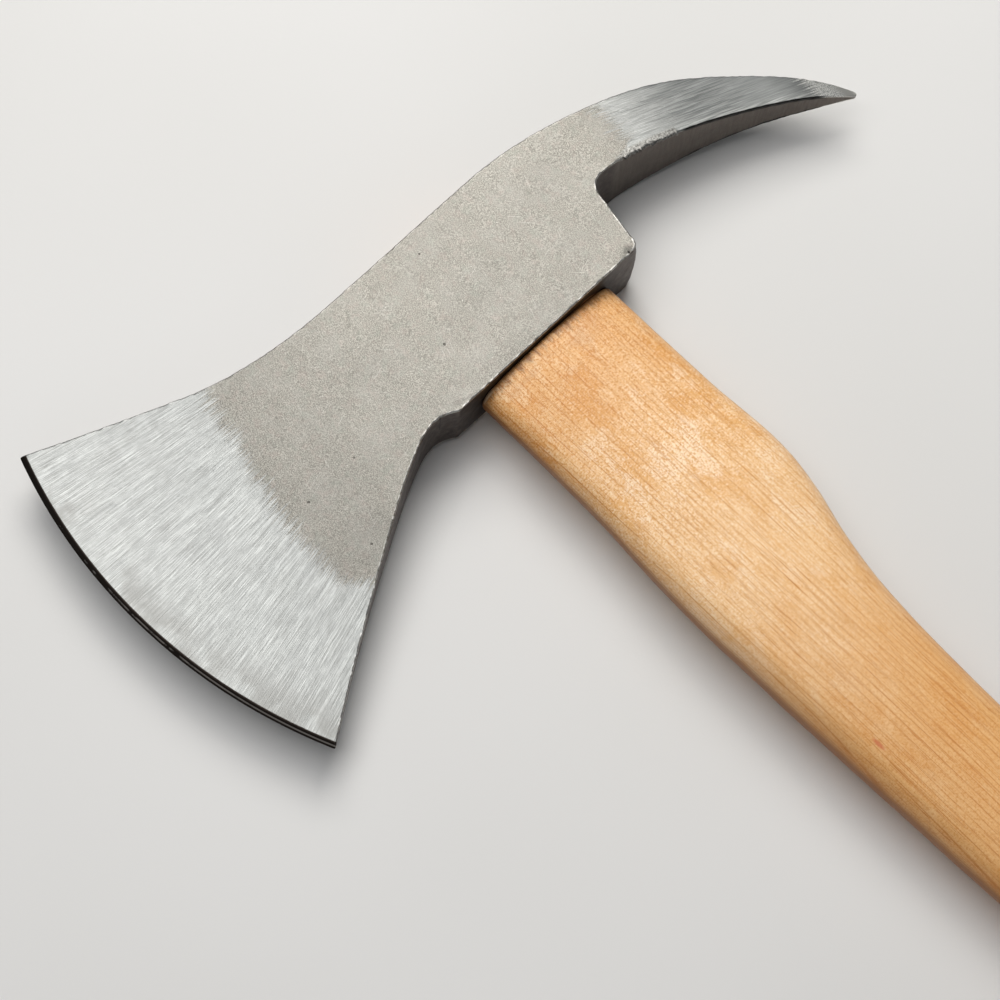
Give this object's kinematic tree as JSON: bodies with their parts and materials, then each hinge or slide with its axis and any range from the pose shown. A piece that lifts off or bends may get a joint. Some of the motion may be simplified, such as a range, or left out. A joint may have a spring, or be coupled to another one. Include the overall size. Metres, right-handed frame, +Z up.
{
  "type": "pick hatchet",
  "caption": "Forged hatchet with a flared cutting bit and a curved pick spike on one head, wedged onto an oval hardwood handle.",
  "frame": {"origin": "on the lower flat cheek of the head, under the middle of the eye", "axes": "+X from the head along the handle to its butt, +Y towards the spike with the cutting edge at -Y, +Z up through the head from cheek to cheek"},
  "size_m": [0.4043, 0.2582, 0.0263],
  "materials": {
    "forged_steel": "blasted cheeks, ground bit and spike",
    "hickory": "clear satin oil",
    "wedge_wood": "bare sawn end grain",
    "wedge_steel": "dull"
  },
  "bodies": {
    "root": {"head": "forged_steel", "handle": "hickory", "kerf_wedge": "wedge_wood", "steel_wedge_front": "wedge_steel", "steel_wedge_back": "wedge_steel"}
  },
  "joints": []
}
